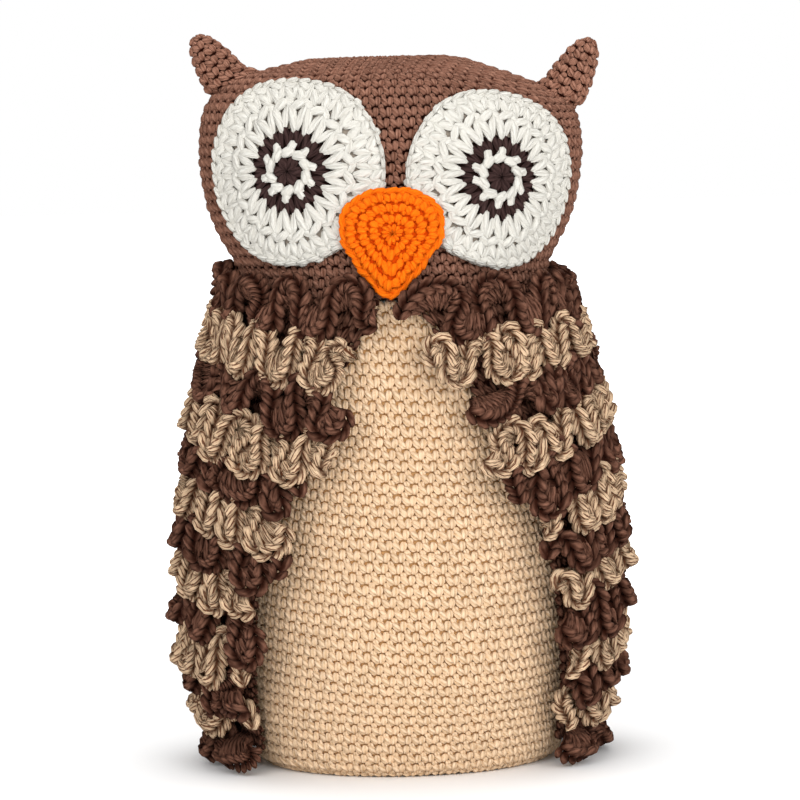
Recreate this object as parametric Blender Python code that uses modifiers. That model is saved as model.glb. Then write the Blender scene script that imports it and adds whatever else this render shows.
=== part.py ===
"""Crocheted plush owl, standing on its flat base and looking along -Y.

The owl is a stuffed tube: tan rounds for the body and brown rounds for the head. Two crocheted
wing panels hang from the neck, each carrying rows of ruffles in brown and in marl yarn. The eyes
are round discs worked in four colour bands, the beak is a small padded shield and the ears are
cones. Left and right are the owl's own, so its left is at +X.
"""

import math

import bpy
from mathutils import Matrix, Vector

# Driving sizes, in metres
TUBE_HEIGHT = 0.3575  # floor to the top of the head
NECK_HEIGHT = 0.2367  # where tan rounds change to brown ones
BODY_WIDTH = 0.172
BODY_DEPTH = 0.166
NECK_WIDTH = 0.154
NECK_DEPTH = 0.148
HEAD_WIDTH = 0.192
HEAD_DEPTH = 0.122
BASE_CORNER = 0.012  # rounding between the flat base and the side
COVER_WALL = 0.004  # thickness of one layer of crochet
SEAM_GAP = 0.0003  # between pieces that touch
FILLING_GAP = 0.0006
MERGE_DISTANCE = 0.00001

EAR_LENGTH = {"left": 0.034, "right": 0.029}  # root to tip
EAR_RADIUS = 0.0135
EAR_ROOT = 0.012  # how far the cone runs on before the head cuts it off
EAR_FLATNESS_SHARE = 0.78

EYE_THICKNESS = 0.005
EYE_EDGE_ROUND = 0.0018
EYE_SEAT_GAP = 0.0011  # lifts the corners of the facets, so that their middles clear the head
EYE_RING_STEP = 0.0095  # widest facet across a band
PUPIL_RADIUS = 0.0066
INNER_BAND = 0.0055
DARK_BAND = 0.0055
LEFT_EYE_RADIUS = 0.0455
RIGHT_EYE_RADIUS = 0.047

BEAK_REACH = 0.0296  # centre of the shield to its tip
BEAK_BULGE = 0.0095
BEAK_BACK = 0.0012

PANEL_WALL = 0.0035
PANEL_TOP_MARGIN = 0.0045  # panel above its first row of ruffles
PANEL_FOOT_MARGIN = 0.005
PANEL_NECK_STAND_OFF = 0.0006  # panel to body at the side of the neck
PANEL_EDGE_STAND_OFF = 0.0042  # panel to body at the front and the back
PANEL_BELLY_STAND_OFF = 0.0085
ROW_PITCH = 0.0188
FIRST_ROW_RISE = 0.0067  # first row at the side, above the neck
FIRST_ROW_DROP = 0.016  # how much lower a row lies at the front than at the side
ROW_DROP = 0.026
RUFFLE_REACH = 0.0225
RUFFLE_WALL = 0.0044
RUFFLE_SEAT_GAP = 0.0015  # its middle sheet to the panel's edge, as its wall leans in there
BROWN_WAVE = 0.0106  # half the height of a fold at the ruffle's edge
MARL_WAVE = 0.0086
RUFFLE_DROOP = 0.006

# Counts and turns
TUBE_SEGMENTS = 32
FILLING_SEGMENTS = 16
EAR_SEGMENTS = 14
EYE_SEGMENTS = 24
BEAK_SEGMENTS = 20
BEAK_RINGS = 8
PANEL_COLUMNS = 12
ROW_COUNT = 13
DRAPE_STEPS = 24
ROWS_TO_FULL_DROP = 3
ROWS_TO_LEVEL = 3  # above the floor, where the drop fades
FLOOR_ROWS = 0.6
DROP_POWER = 1.3
FOLDS_PER_TURN = 24
POINTS_PER_FOLD = 6
ROW_PHASE_STEP = math.radians(38)
EAR_TILT = {"left": math.radians(30), "right": math.radians(22)}

# The tube's outline: height, half width and half depth, as shares of the body's or the head's
BODY_OUTLINE_SHARES = [
    (0.00, 0.905, 0.915),
    (0.16, 0.953, 0.964),
    (0.33, 0.988, 0.988),
    (0.45, 1.000, 0.988),
    (0.61, 0.977, 0.964),
    (0.78, 0.936, 0.928),
    (0.92, 0.907, 0.904),
]
HEAD_OUTLINE_SHARES = [
    (0.113, 0.793, 1.197),
    (0.194, 0.845, 1.164),
    (0.291, 0.915, 1.115),
    (0.405, 0.966, 1.066),
    (0.534, 0.992, 1.016),
    (0.632, 1.000, 1.000),
    (0.745, 0.987, 0.959),
    (0.826, 0.956, 0.885),
    (0.880, 0.890, 0.810),
    (0.928, 0.775, 0.700),
    (0.966, 0.640, 0.557),
    (0.992, 0.480, 0.380),
    (1.000, 0.300, 0.220),
]
CORNER_TURN_SHARES = (0.0, 0.33, 0.67, 1.0)

# Places as shares of the head's half width, and of its height above the neck
EAR_PLACE_SHARES = {"left": (0.870, 0.827), "right": (-0.865, 0.906)}
EYE_PLACE_SHARES = {"left": (0.4925, 0.497), "right": (-0.494, 0.530)}
BEAK_HEIGHT_SHARE = 0.2455
BEAK_PLACE_SHARE = -0.019

# An ear's outline from tip to root: radius and height as shares of its radius and length
EAR_OUTLINE_SHARES = [
    (0.0, 1.0),
    (0.26, 0.975),
    (0.44, 0.88),
    (0.62, 0.68),
    (0.80, 0.42),
    (0.94, 0.15),
    (1.0, 0.0),
]
# The beak's reach at even turns from its tip round to the middle of its top
BEAK_REACH_SHARES = (1.0, 0.754, 0.689, 0.813, 0.918, 0.87, 0.803)
# Where each wing row begins, as shares of the quarter turn from the front to the side
WING_EDGE_SHARES = (
    0.08, 0.15, 0.245, 0.335, 0.42, 0.50, 0.54, 0.572, 0.60, 0.628, 0.655, 0.672, 0.69,
)
# How far each row's ruffle stands out, against the longest
ROW_REACH_SHARES = (0.62, 0.88, 0.93, 0.97, 1.0, 1.0, 1.0, 1.0, 1.0, 1.0, 0.97, 0.94, 0.9)
BACK_EDGE_SHARE = 0.75  # how far the back edge opens, against the front edge
LAST_WAVE_SHARE = 0.6  # the lowest ruffle is shallower, so that it clears the floor

BROWN = (0.145, 0.075, 0.052, 1.0)
TAN = (0.72, 0.47, 0.25, 1.0)
MARL = (0.46, 0.31, 0.18, 1.0)
WHITE = (0.80, 0.78, 0.72, 1.0)
DARK = (0.030, 0.020, 0.020, 1.0)
ORANGE = (0.90, 0.19, 0.01, 1.0)
FIBRE = (0.85, 0.85, 0.82, 1.0)


def make_material(name, colour, roughness=0.9):
    """A Principled material in one yarn's colour."""
    material = bpy.data.materials.new(name)
    material.use_nodes = True
    shader = material.node_tree.nodes["Principled BSDF"]
    shader.inputs["Base Color"].default_value = colour
    shader.inputs["Roughness"].default_value = roughness
    shader.inputs["Metallic"].default_value = 0.0
    material.diffuse_color = colour
    return material


def lerp(start, end, share):
    return start + (end - start) * share


def along(table, position):
    """The value at a whole or part position in an evenly spaced table."""
    index = min(max(int(position), 0), len(table) - 2)
    return lerp(table[index], table[index + 1], position - index)


def tube_sections():
    """(height, half width, half depth) up the whole tube, from the floor to the head's top."""
    sections = []
    foot_width = BODY_OUTLINE_SHARES[0][1] * BODY_WIDTH / 2
    foot_depth = BODY_OUTLINE_SHARES[0][2] * BODY_DEPTH / 2
    for turn_share in CORNER_TURN_SHARES:
        angle = turn_share * math.pi / 2
        inset = BASE_CORNER * (1 - math.sin(angle))
        height = BASE_CORNER * (1 - math.cos(angle))
        sections.append((height, foot_width - inset, foot_depth - inset))
    for height, width, depth in BODY_OUTLINE_SHARES[1:]:
        sections.append((height * NECK_HEIGHT, width * BODY_WIDTH / 2, depth * BODY_DEPTH / 2))
    sections.append((NECK_HEIGHT, NECK_WIDTH / 2, NECK_DEPTH / 2))
    for height, width, depth in HEAD_OUTLINE_SHARES:
        level = lerp(NECK_HEIGHT, TUBE_HEIGHT, height)
        sections.append((level, width * HEAD_WIDTH / 2, depth * HEAD_DEPTH / 2))
    return sections


SECTIONS = tube_sections()


def half_sizes(height):
    """Half width and half depth of the tube at a height."""
    height = min(max(height, SECTIONS[0][0]), SECTIONS[-1][0])
    for lower, upper in zip(SECTIONS, SECTIONS[1:]):
        if height <= upper[0]:
            share = (height - lower[0]) / (upper[0] - lower[0])
            return lerp(lower[1], upper[1], share), lerp(lower[2], upper[2], share)
    return SECTIONS[-1][1:]


def tube_point(turn, height, lift):
    """A point lifted off the tube. turn is 0 at the front and a quarter turn at the owl's left."""
    width, depth = half_sizes(height)
    surface = Vector((width * math.sin(turn), -depth * math.cos(turn), height))
    normal = Vector((math.sin(turn) / width, -math.cos(turn) / depth, 0)).normalized()
    return surface + normal * lift


def link(obj, collection, material=None):
    """Puts an object in a collection and gives it its material."""
    for old in list(obj.users_collection):
        old.objects.unlink(obj)
    collection.objects.link(obj)
    if material is not None:
        obj.data.materials.clear()
        obj.data.materials.append(material)
    return obj


def turned(name, profile, segments, collection, material):
    """Revolves a profile of (radius, height) points, given from top to bottom, about +Z."""
    mesh = bpy.data.meshes.new(name)
    edges = [(i, i + 1) for i in range(len(profile) - 1)]
    mesh.from_pydata([(radius, 0, height) for radius, height in profile], edges, [])
    guide = bpy.data.objects.new(name + "_profile", mesh)
    collection.objects.link(guide)
    screw = guide.modifiers.new("turn", "SCREW")
    screw.steps = segments
    screw.render_steps = segments
    screw.use_merge_vertices = True
    screw.merge_threshold = MERGE_DISTANCE
    bpy.context.view_layer.update()
    graph = bpy.context.evaluated_depsgraph_get()
    made = bpy.data.meshes.new_from_object(guide.evaluated_get(graph))
    bpy.data.objects.remove(guide)
    return link(bpy.data.objects.new(name, made), collection, material)


def press_to_depth(obj, width_scale=1.0, depth_scale=1.0, height_scale=1.0):
    """Flattens a revolved tube to the owl's depth, then scales it about the neck."""
    for vertex in obj.data.vertices:
        width, depth = half_sizes(vertex.co.z)
        vertex.co.y *= depth / width * depth_scale
        vertex.co.x *= width_scale
        vertex.co.z = NECK_HEIGHT + (vertex.co.z - NECK_HEIGHT) * height_scale


def smooth(obj):
    obj.data.shade_smooth()


def make_cover(name, sections, collection, material, closed_end):
    """One stocking of crochet, closed at the floor or at the crown and open at the neck."""
    profile = [(width, height) for height, width, _ in reversed(sections)]
    if closed_end == "top":
        profile.insert(0, (0, sections[-1][0]))
    else:
        profile.append((0, sections[0][0]))
    cover = turned(name, profile, TUBE_SEGMENTS, collection, material)
    press_to_depth(cover)
    wall = cover.modifiers.new("wall", "SOLIDIFY")
    wall.thickness = COVER_WALL
    wall.offset = -1
    wall.use_even_offset = True
    smooth(cover)
    return cover


def make_filling(name, sections, collection, material):
    """A wad of fibre that fills one cover, drawn in by the wall and a small gap."""
    inset = COVER_WALL + FILLING_GAP
    profile = [(width, height) for height, width, _ in reversed(sections)]
    profile = [(0, profile[0][1])] + profile + [(0, profile[-1][1])]
    filling = turned(name, profile, FILLING_SEGMENTS, collection, material)
    slimmest = min(depth for height, _, depth in sections if is_side(height))
    side_scale = 1 - inset / slimmest
    reach = max(abs(height - NECK_HEIGHT) for height, _, _ in sections)
    press_to_depth(filling, side_scale, side_scale, 1 - inset / reach)
    for vertex in filling.data.vertices:
        above_neck = sections[0][0] >= NECK_HEIGHT
        vertex.co.z += FILLING_GAP / 2 if above_neck else -FILLING_GAP / 2
    smooth(filling)
    return filling


def is_side(height):
    """True between the base's rounded corner and the shoulder of the crown."""
    crown_start = lerp(NECK_HEIGHT, TUBE_HEIGHT, HEAD_OUTLINE_SHARES[6][0])
    return BASE_CORNER <= height <= crown_start


def make_tube_cutter(collection):
    """The owl's outer form, grown by the seam gap, that trims what is sewn on it."""
    profile = [(width, height) for height, width, _ in reversed(SECTIONS)]
    profile = [(0, SECTIONS[-1][0])] + profile + [(0, SECTIONS[0][0])]
    cutter = turned("tube_cutter", profile, TUBE_SEGMENTS, collection, None)
    press_to_depth(cutter)
    grow = cutter.modifiers.new("grow", "DISPLACE")
    grow.strength = SEAM_GAP
    grow.mid_level = 0
    cutter.hide_render = True
    cutter.display_type = "WIRE"
    return cutter


def make_ear(side, cutter, collection, material):
    """A crocheted cone, its root trimmed to the head."""
    profile = [(r * EAR_RADIUS, h * EAR_LENGTH[side]) for r, h in EAR_OUTLINE_SHARES]
    profile += [(EAR_RADIUS, -EAR_ROOT), (0, -EAR_ROOT)]
    ear = turned(side + "_ear", profile, EAR_SEGMENTS, collection, material)
    for vertex in ear.data.vertices:
        vertex.co.y *= EAR_FLATNESS_SHARE
    place, level = EAR_PLACE_SHARES[side]
    outward = math.copysign(1, place)
    ear.location = (
        place * HEAD_WIDTH / 2,
        0,
        lerp(NECK_HEIGHT, TUBE_HEIGHT, level),
    )
    ear.rotation_euler = (0, outward * EAR_TILT[side], 0)
    trim = ear.modifiers.new("trim_to_head", "BOOLEAN")
    trim.operation = "DIFFERENCE"
    trim.object = cutter
    smooth(ear)
    return ear


def lay_on_head(obj, centre_x, centre_height, lift):
    """Drapes a flat piece on the face: local x runs round the head, y up it, z off it."""
    for vertex in obj.data.vertices:
        across, up, off = vertex.co
        height, depth = centre_height, half_sizes(centre_height)[1]
        for _ in range(DRAPE_STEPS):
            rise = up / DRAPE_STEPS
            ahead = half_sizes(height + rise)[1]
            height += rise / math.hypot(1, (ahead - depth) / rise if rise else 0)
            depth = half_sizes(height)[1]
        width, depth = half_sizes(height)
        turn = math.asin(max(-1, min(1, centre_x / width)))
        for _ in range(DRAPE_STEPS):
            speed = math.hypot(width * math.cos(turn), depth * math.sin(turn))
            turn += across / DRAPE_STEPS / speed
        vertex.co = tube_point(turn, height, lift + off)


def rounded_band(inner, outer, thickness):
    """Half the outline of a flat band, top to bottom, with its edges rounded."""
    edge = EYE_EDGE_ROUND
    rim = [(outer, thickness - edge), (outer, edge)]
    start = inner + edge if inner > 0 else 0
    steps = math.ceil((outer - edge - start) / EYE_RING_STEP)
    flat = [lerp(start, outer - edge, i / steps) for i in range(steps + 1)]
    outline = [(radius, thickness) for radius in flat] + rim + [(radius, 0) for radius in reversed(flat)]
    if inner > 0:
        outline += [(inner, edge), (inner, thickness - edge), outline[0]]
    return outline


def make_eye(side, radius, collection, materials):
    """Four bands of yarn, each a ring of its own round the pupil."""
    place, level = EYE_PLACE_SHARES[side]
    centre_x = place * HEAD_WIDTH / 2
    centre_height = lerp(NECK_HEIGHT, TUBE_HEIGHT, level)
    edges = [0, PUPIL_RADIUS, PUPIL_RADIUS + INNER_BAND, PUPIL_RADIUS + INNER_BAND + DARK_BAND, radius]
    names = ["pupil", "inner_ring", "dark_ring", "disc"]
    colours = ["dark", "white", "dark", "white"]
    bands = []
    for index, (name, colour) in enumerate(zip(names, colours)):
        inner = edges[index] + SEAM_GAP / 2 if index else 0
        outer = edges[index + 1] - SEAM_GAP / 2
        profile = rounded_band(inner, outer, EYE_THICKNESS)
        band = turned(f"{side}_eye_{name}", profile, EYE_SEGMENTS, collection, materials[colour])
        lay_on_head(band, centre_x, centre_height, EYE_SEAT_GAP)
        smooth(band)
        bands.append(band)
    return bands


def beak_reach(angle):
    """How far the shield's outline lies from its centre. angle is 0 at the tip."""
    position = abs(angle) / math.pi * (len(BEAK_REACH_SHARES) - 1)
    index = min(int(position), len(BEAK_REACH_SHARES) - 2)
    ease = (1 - math.cos((position - index) * math.pi)) / 2
    return BEAK_REACH * lerp(BEAK_REACH_SHARES[index], BEAK_REACH_SHARES[index + 1], ease)


def make_beak(collection, material):
    """A ball pressed into a shield, sewn over the inner edges of both eyes."""
    bpy.ops.mesh.primitive_uv_sphere_add(segments=BEAK_SEGMENTS, ring_count=BEAK_RINGS, radius=1)
    beak = link(bpy.context.object, collection, material)
    beak.name = "beak"
    for vertex in beak.data.vertices:
        x, y, z = vertex.co
        reach = beak_reach(math.atan2(x, -y))
        off = z * BEAK_BULGE if z > 0 else z * BEAK_BACK
        vertex.co = (x * reach, y * reach, off + BEAK_BACK)
    centre_height = lerp(NECK_HEIGHT, TUBE_HEIGHT, BEAK_HEIGHT_SHARE)
    centre_x = BEAK_PLACE_SHARE * HEAD_WIDTH / 2
    lay_on_head(beak, centre_x, centre_height, EYE_SEAT_GAP + EYE_THICKNESS + SEAM_GAP / 2)
    smooth(beak)
    return beak


def wing_turns(row):
    """Where a wing begins and ends round the body at a row, in radians from the front."""
    front = along(WING_EDGE_SHARES, row) * math.pi / 2
    return front, math.pi - BACK_EDGE_SHARE * front


def row_height(row, turn):
    """A row of ruffles lies lower towards the front edge."""
    drop = lerp(FIRST_ROW_DROP, ROW_DROP, min(row / ROWS_TO_FULL_DROP, 1))
    rows_below = ROW_COUNT - 1 - row + FLOOR_ROWS
    drop *= min(max(rows_below / ROWS_TO_LEVEL, 0), 1)
    side_height = NECK_HEIGHT + FIRST_ROW_RISE - row * ROW_PITCH
    return side_height - drop * max(0, math.cos(turn)) ** DROP_POWER


def stand_off(row, turn):
    """Gap between the body and a wing's panel, widest half way down."""
    last = ROW_COUNT - 1
    hang = max(0, math.sin(math.pi * (row + 1) / (last + 3)))
    eased = hang * min(max(row / ROWS_TO_FULL_DROP, 0), 1)
    side = lerp(PANEL_NECK_STAND_OFF, PANEL_BELLY_STAND_OFF, eased)
    return side * math.sin(turn) ** 2 + PANEL_EDGE_STAND_OFF * math.cos(turn) ** 2


def make_panel(side, sign, collection, material):
    """The crocheted sheet behind one wing's ruffles, from front edge to back edge."""
    row_steps = ROW_COUNT + 1
    bpy.ops.mesh.primitive_grid_add(
        x_subdivisions=PANEL_COLUMNS, y_subdivisions=row_steps, size=2
    )
    panel = link(bpy.context.object, collection, material)
    panel.name = side + "_wing_panel"
    last = ROW_COUNT - 1
    rows = [-PANEL_TOP_MARGIN / ROW_PITCH, *range(ROW_COUNT), last + PANEL_FOOT_MARGIN / ROW_PITCH]
    for vertex in panel.data.vertices:
        share_across, share_down = (vertex.co.x + 1) / 2, (1 - vertex.co.y) / 2
        row = rows[round(share_down * row_steps)]
        front, back = wing_turns(min(max(row, 0), last))
        turn = lerp(front, back, share_across)
        vertex.co = tube_point(sign * turn, row_height(row, turn), stand_off(row, turn))
    wall = panel.modifiers.new("wall", "SOLIDIFY")
    wall.thickness = PANEL_WALL
    wall.offset = 1 if sign > 0 else -1
    smooth(panel)
    return panel


def fold_height(row):
    """Half the height of a fold at the outer edge of a row."""
    wave = BROWN_WAVE if row % 2 == 0 else MARL_WAVE
    return wave * LAST_WAVE_SHARE if row == ROW_COUNT - 1 else wave


def fold_phase(row, turn):
    """Where a point lies in its fold: neighbouring rows follow each other, so they nest."""
    return (turn - math.pi / 2) * FOLDS_PER_TURN + row * ROW_PHASE_STEP


def ruffle_turns(row):
    """The row's ends, and between them the points that sample every fold alike."""
    front, back = wing_turns(row)
    step = math.tau / POINTS_PER_FOLD
    first = math.floor(fold_phase(row, front) / step) + 2
    last = math.ceil(fold_phase(row, back) / step) - 2
    start = fold_phase(row, 0)
    inner = [(index * step - start) / FOLDS_PER_TURN for index in range(first, last + 1)]
    return [front, *inner, back]


def make_ruffle(side, sign, row, collection, material):
    """One frilled strip: straight where it is worked into the panel, waved at its edge."""
    turns = ruffle_turns(row)
    columns = len(turns) - 1
    bpy.ops.mesh.primitive_grid_add(x_subdivisions=columns, y_subdivisions=1, size=2)
    ruffle = link(bpy.context.object, collection, material)
    colour = "brown" if row % 2 == 0 else "marl"
    ruffle.name = f"{side}_{colour}_ruffle_{row // 2 + 1}"
    last = ROW_COUNT - 1
    droop = RUFFLE_DROOP * 4 * row * (last - row) / last**2
    for vertex in ruffle.data.vertices:
        turn = turns[round((vertex.co.x + 1) / 2 * columns)]
        out = (vertex.co.y + 1) / 2
        fold = math.sin(fold_phase(row, turn))
        height = row_height(row, turn)
        seat = stand_off(row, turn) + PANEL_WALL + RUFFLE_SEAT_GAP
        point = tube_point(sign * turn, height, seat + out * RUFFLE_REACH * ROW_REACH_SHARES[row])
        point.z += out * (fold * fold_height(row) - droop)
        vertex.co = point
    wall = ruffle.modifiers.new("wall", "SOLIDIFY")
    wall.thickness = RUFFLE_WALL
    wall.offset = 0
    smooth(ruffle)
    return ruffle


def make_hinge(side, sign, collection, pieces):
    """The line along which a wing is sewn to the neck: the wing lifts about it, parallel to Y."""
    hinge = bpy.data.objects.new(side + "_wing_hinge", None)
    hinge.location = (sign * NECK_WIDTH / 2, 0, NECK_HEIGHT + FIRST_ROW_RISE + PANEL_TOP_MARGIN)
    collection.objects.link(hinge)
    for piece in pieces:
        piece.parent = hinge
        piece.matrix_parent_inverse = Matrix.Translation(-hinge.location)


def clear_scene():
    for obj in list(bpy.data.objects):
        bpy.data.objects.remove(obj)


def main():
    clear_scene()
    owl = bpy.data.collections.new("crocheted_owl")
    cutters = bpy.data.collections.new("cutters")
    for collection in (owl, cutters):
        bpy.context.scene.collection.children.link(collection)
    yarns = {
        "brown": make_material("brown_yarn", BROWN),
        "tan": make_material("tan_yarn", TAN),
        "marl": make_material("marl_yarn", MARL),
        "white": make_material("white_yarn", WHITE),
        "dark": make_material("dark_yarn", DARK),
        "orange": make_material("orange_yarn", ORANGE),
        "fibre": make_material("fibre_filling", FIBRE),
    }
    body_sections = [s for s in SECTIONS if s[0] <= NECK_HEIGHT]
    head_sections = [s for s in SECTIONS if s[0] >= NECK_HEIGHT]
    body_sections[-1] = (NECK_HEIGHT - SEAM_GAP / 2, *body_sections[-1][1:])
    head_sections[0] = (NECK_HEIGHT + SEAM_GAP / 2, *head_sections[0][1:])
    make_cover("body_cover", body_sections, owl, yarns["tan"], "bottom")
    make_cover("head_cover", head_sections, owl, yarns["brown"], "top")
    make_filling("body_filling", body_sections, owl, yarns["fibre"])
    make_filling("head_filling", head_sections, owl, yarns["fibre"])
    cutter = make_tube_cutter(cutters)
    for side, sign in (("left", 1), ("right", -1)):
        make_ear(side, cutter, owl, yarns["brown"])
        radius = LEFT_EYE_RADIUS if side == "left" else RIGHT_EYE_RADIUS
        make_eye(side, radius, owl, yarns)
        wing = [make_panel(side, sign, owl, yarns["brown"])]
        for row in range(ROW_COUNT):
            yarn = yarns["brown"] if row % 2 == 0 else yarns["marl"]
            wing.append(make_ruffle(side, sign, row, owl, yarn))
        make_hinge(side, sign, owl, wing)
    make_beak(owl, yarns["orange"])


main()
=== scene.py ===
import math

import bpy
import numpy as np
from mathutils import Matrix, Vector
from mathutils.bvhtree import BVHTree


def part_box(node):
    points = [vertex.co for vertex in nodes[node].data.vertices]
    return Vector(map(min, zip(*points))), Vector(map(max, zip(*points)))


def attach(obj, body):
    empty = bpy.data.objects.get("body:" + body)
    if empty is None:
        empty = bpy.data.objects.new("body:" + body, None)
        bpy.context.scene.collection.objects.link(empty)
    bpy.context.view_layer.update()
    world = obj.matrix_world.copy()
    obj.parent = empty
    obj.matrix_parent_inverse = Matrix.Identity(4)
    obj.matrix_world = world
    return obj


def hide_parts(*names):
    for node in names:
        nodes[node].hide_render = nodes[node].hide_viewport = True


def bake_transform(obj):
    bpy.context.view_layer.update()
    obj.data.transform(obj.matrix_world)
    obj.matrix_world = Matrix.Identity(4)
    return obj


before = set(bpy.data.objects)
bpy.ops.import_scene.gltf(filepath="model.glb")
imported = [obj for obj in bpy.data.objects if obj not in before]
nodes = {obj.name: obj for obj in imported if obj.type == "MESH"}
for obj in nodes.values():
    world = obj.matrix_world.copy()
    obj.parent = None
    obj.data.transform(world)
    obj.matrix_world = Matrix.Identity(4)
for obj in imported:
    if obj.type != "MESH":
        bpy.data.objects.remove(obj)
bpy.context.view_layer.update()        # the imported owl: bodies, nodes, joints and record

handwork = dict(
    seed=7,             # gives the same unevenness each run
    shift=0.25,         # how far a stitch strays from its place, as a share of its wobble
    floor=0.0001,       # no stitch reaches lower
    foldDraws=305,      # draws passed over before the frills, whose folds were set up that way
)
chance = np.random.default_rng(handwork["seed"])
print("frame loaded,", len(nodes), "nodes")


# general helpers

def deselectAll():
    if bpy.context.object and bpy.context.object.mode != "OBJECT":
        bpy.ops.object.mode_set(mode="OBJECT")
    bpy.ops.object.select_all(action="DESELECT")


def smoothAll(piece):
    deselectAll()
    piece.select_set(True)
    bpy.context.view_layer.objects.active = piece
    bpy.ops.object.shade_smooth()


def joinPieces(name, pieces):
    deselectAll()
    for piece in pieces:
        piece.select_set(True)
    bpy.context.view_layer.objects.active = pieces[0]
    if len(pieces) > 1:
        bpy.ops.object.join()
    joined = bpy.context.object
    joined.name = name
    return joined


def ease(share):
    return share * share * (3 - 2 * share)


def unit(vectors):
    return vectors / np.maximum(np.linalg.norm(vectors, axis=1), 1e-12)[:, None]


# materials: a yarn's pattern runs along each strand's own UV map, u round it and v along it

def newMaterial(name):
    material = bpy.data.materials.new(name)
    material.use_nodes = True
    tree = material.node_tree
    return material, tree, tree.nodes["Principled BSDF"]


def setInputs(tree, node, values):
    # a socket is linked, anything else is set
    for key, value in values.items():
        if isinstance(value, bpy.types.NodeSocket):
            tree.links.new(value, node.inputs[key])
        else:
            node.inputs[key].default_value = value


def addNode(tree, kind, values, **settings):
    node = tree.nodes.new("ShaderNode" + kind)
    for key, value in settings.items():
        setattr(node, key, value)
    setInputs(tree, node, values)
    return node.outputs


def addMath(tree, operation, *values):
    return addNode(tree, "Math", dict(enumerate(values)), operation=operation)[0]


def addSum(tree, first, firstShare, second, secondShare):
    return addMath(tree, "ADD", addMath(tree, "MULTIPLY", first, firstShare),
                   addMath(tree, "MULTIPLY", second, secondShare))


def addMix(tree, factor, first, second):
    first, second = ((*value, 1) if isinstance(value, tuple) else value for value in (first, second))
    return addNode(tree, "Mix", {0: factor, 6: first, 7: second}, data_type="RGBA")[2]


def addRange(tree, value, low, high, kind="SMOOTHSTEP"):
    values = {"Value": value, "From Min": low, "From Max": high}
    return addNode(tree, "MapRange", values, interpolation_type=kind)[0]


def addAttribute(tree, name):
    return addNode(tree, "Attribute", {}, attribute_name=name)["Fac"]


def addNoise(tree, at, scale, detail, distortion=0.0):
    values = {"Vector": at, "Scale": scale, "Detail": detail, "Distortion": distortion}
    return addNode(tree, "TexNoise", values)["Fac"]


def addBump(tree, height, strength, depth):
    return addNode(tree, "Bump", {"Height": height, "Strength": strength, "Distance": depth})[0]


yarnBasis = dict(           # what a yarn has unless its own look says otherwise
    plies=4,
    bump=0.9,
    bumpDepth=0.0008,
    plyHeight=0.6,
    fibreHeight=0.7,
    fibreLength=2.2,        # noise steps along the strand, for one turn of the map
    fibreChange=40,         # noise steps between tones, so that no two stitches show the same fibres
    fibreDetail=2.0,
    fibreRange=(0.30, 0.70),
    wander=2.4,             # how far fibres stray over the border between two colours
    border=3.0,             # how sharp that border is
    roughness=0.92,
    specular=0.05,
    sheen=0.10,
    sheenRoughness=0.5,
)


def yarnMaterial(name, look):
    look = yarnBasis | look
    material, tree, shader = newMaterial(name)
    uvMap = addNode(tree, "UVMap", {}, uv_map="yarn")
    around, along, _ = addNode(tree, "SeparateXYZ", {0: uvMap[0]})
    toneAndShade = addAttribute(tree, "toneAndShade")
    twisted = addMath(tree, "MULTIPLY_ADD", along, look["twist"],
                      addMath(tree, "MULTIPLY", around, look["plies"]))
    plies = addMath(tree, "ABSOLUTE", addMath(tree, "SINE", addMath(tree, "MULTIPLY", twisted, math.pi)))
    steps = ((twisted, look["fibres"]), (along, look["fibreLength"]), (toneAndShade, look["fibreChange"]))
    scaled = [addMath(tree, "MULTIPLY", value, scale) for value, scale in steps]
    fibreAt = addNode(tree, "CombineXYZ", dict(enumerate(scaled)))[0]
    fibre = addRange(tree, addNoise(tree, fibreAt, 1.0, look["fibreDetail"]), *look["fibreRange"], "LINEAR")
    height = addSum(tree, plies, look["plyHeight"], fibre, look["fibreHeight"])
    lit = addSum(tree, plies, look["plyContrast"], fibre, 1 - look["plyContrast"])
    bright, dark = look["colour"], look["shade"]
    if "second" in look:
        band = addMath(tree, "SINE", addMath(tree, "MULTIPLY", twisted, math.pi * 2 / look["bandPlies"]))
        stray = addMath(tree, "MULTIPLY_ADD", fibre, look["wander"], -look["wander"] / 2)
        share = addMath(tree, "MULTIPLY_ADD", addMath(tree, "ADD", band, stray), look["border"],
                        look["bandShift"])
        share = addNode(tree, "Clamp", {0: share})[0]
        bright = addMix(tree, share, look["second"], bright)
        dark = addMix(tree, share, look["secondShade"], dark)
    # painted shade: each stitch's lower parts and strand ends take the darker gap colour, for the shade that
    # falls between stitches
    raised = addRange(tree, addAttribute(tree, "unshaded"), 0.0, look["gapDepth"])
    colour = addMix(tree, raised, look["gap"], addMix(tree, lit, dark, bright))
    vary = addMath(tree, "MULTIPLY_ADD", toneAndShade, look["vary"], 1 - look["vary"] / 2)
    setInputs(tree, shader, {
        "Base Color": addNode(tree, "HueSaturation", {"Value": vary, "Color": colour})[0],
        "Normal": addBump(tree, height, look["bump"], look["bumpDepth"]),
        "Roughness": look["roughness"],
        "Specular IOR Level": look["specular"],
        "Sheen Weight": look["sheen"],
        "Sheen Roughness": look["sheenRoughness"],
        "Sheen Tint": (*look["colour"], 1),
    })
    material.diffuse_color = (*look["colour"], 1)
    return material
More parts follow.
